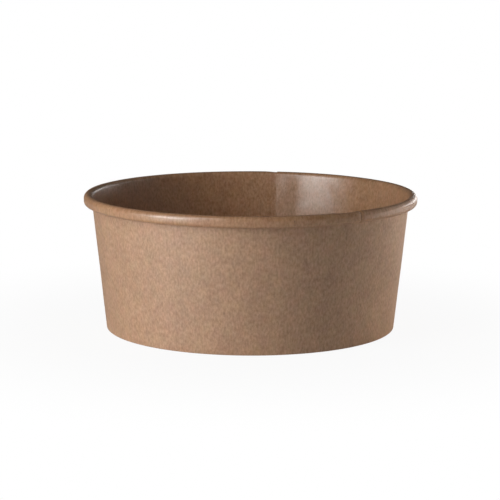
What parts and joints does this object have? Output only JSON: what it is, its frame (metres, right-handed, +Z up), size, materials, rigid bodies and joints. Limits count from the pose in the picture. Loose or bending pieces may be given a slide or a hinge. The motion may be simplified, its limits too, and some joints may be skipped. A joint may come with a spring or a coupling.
{
  "type": "paper bowl",
  "caption": "Round kraft paper food bowl with a tapered wall, a rolled rim that takes a lid, a glued side seam and a base disc set up inside the foot.",
  "frame": {"origin": "centre of the circle that the foot stands on", "axes": "+Z up along the bowl's axis, -Y towards the side the picture was taken from, with the side seam at the back"},
  "size_m": [0.15, 0.15, 0.061],
  "materials": {
    "wall_board": "brown kraft board, matt outside, coated and glossy inside and over the rim",
    "base_board": "brown kraft board, coated and glossy on top, matt underneath"
  },
  "bodies": {
    "root": {"side_wall": "wall_board", "base_disc": "base_board"}
  },
  "joints": []
}
